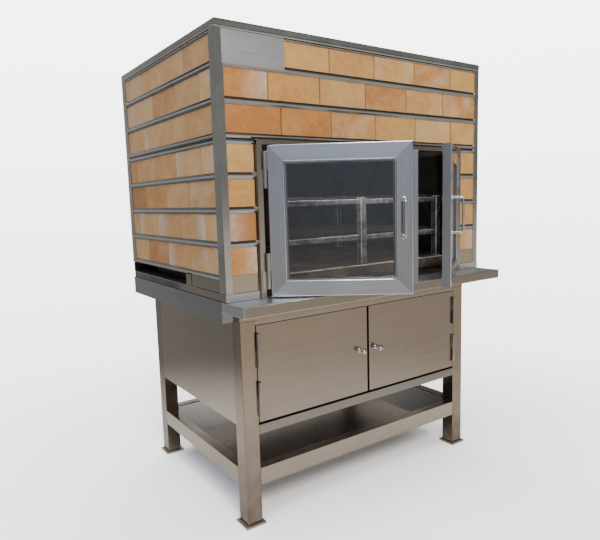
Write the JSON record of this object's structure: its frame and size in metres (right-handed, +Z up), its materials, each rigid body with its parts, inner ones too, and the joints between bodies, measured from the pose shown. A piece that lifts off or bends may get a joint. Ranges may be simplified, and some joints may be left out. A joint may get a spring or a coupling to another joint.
{
  "type": "wood-fired roasting oven",
  "caption": "Brick-faced roasting oven with paired glazed doors ajar, on a stainless stand with a hinged cupboard, a front ledge and an open lower shelf.",
  "frame": {"origin": "floor level, under the middle of the overall footprint with the oven doors ajar as shown", "axes": "+Z up, +X to the right seen from the front, +Y from the front to the back"},
  "size_m": [1.4, 1.3586, 1.924],
  "materials": {
    "stainless_brushed": "brushed stainless",
    "stainless_sheet": "fine brushed stainless sheet",
    "stainless_polished": "mirror polished stainless",
    "door_steel": "brushed stainless",
    "firebrick": "dry fireclay brick",
    "hearth_brick": "sooty fireclay tile",
    "mineral_wool": "ceramic wool board",
    "sooty_steel": "heat-darkened steel",
    "grate_iron": "raw casting",
    "rack_steel": "dull stainless",
    "door_glass": "dark tempered glass",
    "rope_gasket": "black fibre rope",
    "black_plastic": "moulded"
  },
  "bodies": {
    "oven": {"foot_plates": "stainless_brushed", "legs": "stainless_brushed", "stretchers": "stainless_brushed", "lower_shelf": "stainless_sheet", "cabinet_side_panels": "stainless_sheet", "cabinet_back_panel": "stainless_sheet", "cabinet_floor": "stainless_sheet", "cabinet_front_rails": "stainless_sheet", "door_catches": "black_plastic", "base_tray": "stainless_sheet", "tray_bottom": "stainless_sheet", "front_ledge": "stainless_sheet", "plinth_strips": "stainless_sheet", "lower_panels": "stainless_sheet", "corner_posts": "stainless_polished", "top_frame": "stainless_polished", "roof_panel": "stainless_sheet", "back_panel": "stainless_sheet", "bricks_front": "firebrick", "bricks_left": "firebrick", "bricks_right": "firebrick", "trims_front": "stainless_polished", "trims_left": "stainless_polished", "trims_right": "stainless_polished", "blank_plate": "stainless_sheet", "insulation": "mineral_wool", "chamber_liner": "sooty_steel", "chamber_ceiling": "sooty_steel", "hearth_plate": "sooty_steel", "hearth_tiles": "hearth_brick", "hearth_deck": "sooty_steel", "fire_grate": "grate_iron", "flue_collar": "stainless_brushed", "door_frame": "stainless_brushed", "door_stops": "stainless_brushed", "oven_hinge_posts": "stainless_polished", "base_hinge_posts": "stainless_polished", "rack_posts": "rack_steel", "rack_rails": "rack_steel", "rack_grids": "rack_steel"},
    "left_oven_door": {"left_door_frame": "door_steel", "left_door_glass": "door_glass", "left_door_beads": "stainless_polished", "left_door_gasket": "rope_gasket", "left_door_handle": "stainless_polished", "left_door_knuckles": "stainless_polished", "left_door_lip": "door_steel"},
    "right_oven_door": {"right_door_frame": "door_steel", "right_door_glass": "door_glass", "right_door_beads": "stainless_polished", "right_door_gasket": "rope_gasket", "right_door_handle": "stainless_polished", "right_door_knuckles": "stainless_polished"},
    "left_base_door": {"left_base_panel": "stainless_sheet", "left_base_knob": "stainless_polished", "left_base_knuckles": "stainless_polished"},
    "right_base_door": {"right_base_panel": "stainless_sheet", "right_base_knob": "stainless_polished", "right_base_knuckles": "stainless_polished"},
    "ash_drawer": {"ash_pan": "sooty_steel"}
  },
  "joints": [
    {"name": "left_oven_door_hinge", "type": "hinge", "parent": "oven", "child": "left_oven_door", "pos_m": [-0.53, -0.3387, 1.17], "axis": [0, 0, -1], "range_deg": [-37.6, 70]},
    {"name": "right_oven_door_hinge", "type": "hinge", "parent": "oven", "child": "right_oven_door", "pos_m": [0.53, -0.3387, 1.17], "axis": [0, 0, 1], "range_deg": [-36.6, 70]},
    {"name": "left_base_door_hinge", "type": "hinge", "parent": "oven", "child": "left_base_door", "pos_m": [-0.574, -0.3172, 0.6], "axis": [0, 0, -1], "range_deg": [0, 110]},
    {"name": "right_base_door_hinge", "type": "hinge", "parent": "oven", "child": "right_base_door", "pos_m": [0.532, -0.3172, 0.6], "axis": [0, 0, 1], "range_deg": [0, 110]},
    {"name": "ash_pan_slide", "type": "slide", "parent": "oven", "child": "ash_drawer", "axis": [-1, 0, 0], "range_m": [0, 0.55]}
  ]
}
